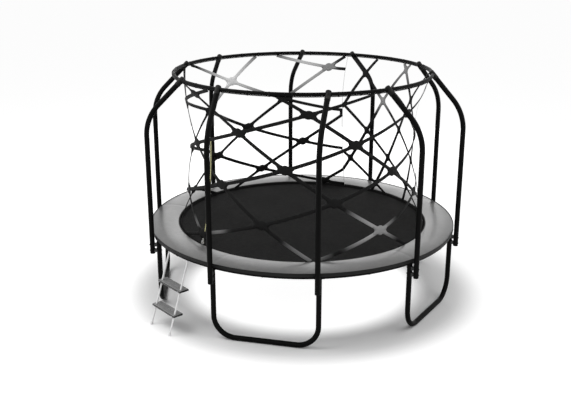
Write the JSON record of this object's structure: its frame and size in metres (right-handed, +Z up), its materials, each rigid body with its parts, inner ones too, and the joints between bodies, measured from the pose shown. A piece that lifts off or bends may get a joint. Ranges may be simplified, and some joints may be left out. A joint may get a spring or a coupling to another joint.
{
  "type": "garden trampoline",
  "caption": "Round garden trampoline with a padded edge, a netted enclosure on bent poles under a top ring, a zipped door and a small step ladder.",
  "frame": {"origin": "on the ground, at the middle of the whole object's box; the trampoline's own axis stands 127.8 mm behind it because the ladder reaches out in front", "axes": "+Z up; +Y towards the back, away from the zip and the ladder, which stand on the -Y side; +X to the right when facing the ladder from the front"},
  "size_m": [3.8172, 3.9268, 2.7199],
  "materials": {
    "frame_tube": "satin black powder coat",
    "pole_tube": "satin black powder coat",
    "cap_plastic": "satin",
    "spacer_plastic": "matte",
    "zinc_steel": "zinc plated",
    "mat_weave": "woven polypropylene",
    "webbing": "woven webbing",
    "pad_cover": "coated grey cover over foam",
    "skirt_cloth": "coated cloth",
    "net_mesh": "black netting",
    "zip_tape": "olive yellow zip tape",
    "zip_metal": "satin nickel",
    "ladder_tube": "white",
    "tread_plastic": "dark grey moulded",
    "foot_rubber": "matte"
  },
  "bodies": {
    "trampoline": {"frame_rail_1": "frame_tube", "frame_rail_2": "frame_tube", "frame_rail_3": "frame_tube", "frame_rail_4": "frame_tube", "frame_rail_5": "frame_tube", "frame_rail_6": "frame_tube", "frame_rail_7": "frame_tube", "frame_rail_8": "frame_tube", "frame_rail_9": "frame_tube", "frame_rail_10": "frame_tube", "frame_tees": "frame_tube", "leg_1": "frame_tube", "leg_2": "frame_tube", "leg_3": "frame_tube", "leg_4": "frame_tube", "leg_5": "frame_tube", "pole_1": "pole_tube", "pole_2": "pole_tube", "pole_3": "pole_tube", "pole_4": "pole_tube", "pole_5": "pole_tube", "pole_6": "pole_tube", "pole_7": "pole_tube", "pole_8": "pole_tube", "pole_9": "pole_tube", "pole_10": "pole_tube", "pole_spacers": "spacer_plastic", "pole_bolts": "zinc_steel", "pole_caps": "cap_plastic", "ring_tube_1": "pole_tube", "ring_tube_2": "pole_tube", "ring_tube_3": "pole_tube", "ring_tube_4": "pole_tube", "ring_tube_5": "pole_tube", "springs": "zinc_steel", "pad": "pad_cover", "pad_skirt": "skirt_cloth", "pad_straps": "webbing", "net_panels_1": "net_mesh", "net_panels_2": "net_mesh", "net_panels_3": "net_mesh", "net_panels_4": "net_mesh", "net_panels_5": "net_mesh", "net_top_cord": "webbing", "net_ties": "webbing", "net_seams": "webbing", "zip_tapes": "zip_tape"},
    "mat": {"mat": "mat_weave", "mat_border": "webbing", "v_rings": "zinc_steel", "net_hem": "webbing"},
    "zip_slider": {"zip_slider": "zip_metal"},
    "zip_pull": {"zip_pull": "zip_metal"},
    "ladder": {"ladder_rail_left": "ladder_tube", "ladder_rail_right": "ladder_tube", "ladder_tread_upper": "tread_plastic", "ladder_tread_lower": "tread_plastic", "ladder_feet": "foot_rubber", "ladder_screws": "zinc_steel"}
  },
  "joints": [
    {"name": "mat_bounce", "type": "slide", "parent": "trampoline", "child": "mat", "axis": [0, 0, -1], "range_m": [0, 0.3], "stiffness_N_per_m": 7000, "springref_m": -0.06, "deforming": ["springs"]},
    {"name": "zip_slide", "type": "hinge", "parent": "trampoline", "child": "zip_slider", "pos_m": [0, -5.98879, 2.06], "axis": [1, 0, 0], "range_deg": [0, 13.1]},
    {"name": "zip_pull_swing", "type": "hinge", "parent": "zip_slider", "child": "zip_pull", "pos_m": [0, -1.33945, 0.936], "axis": [-1, 0, 0], "range_deg": [0, 150]},
    {"name": "ladder_swing", "type": "hinge", "parent": "trampoline", "child": "ladder", "pos_m": [0, -1.66365, 0.843], "axis": [-1, 0, 0], "range_deg": [0, 50]}
  ]
}
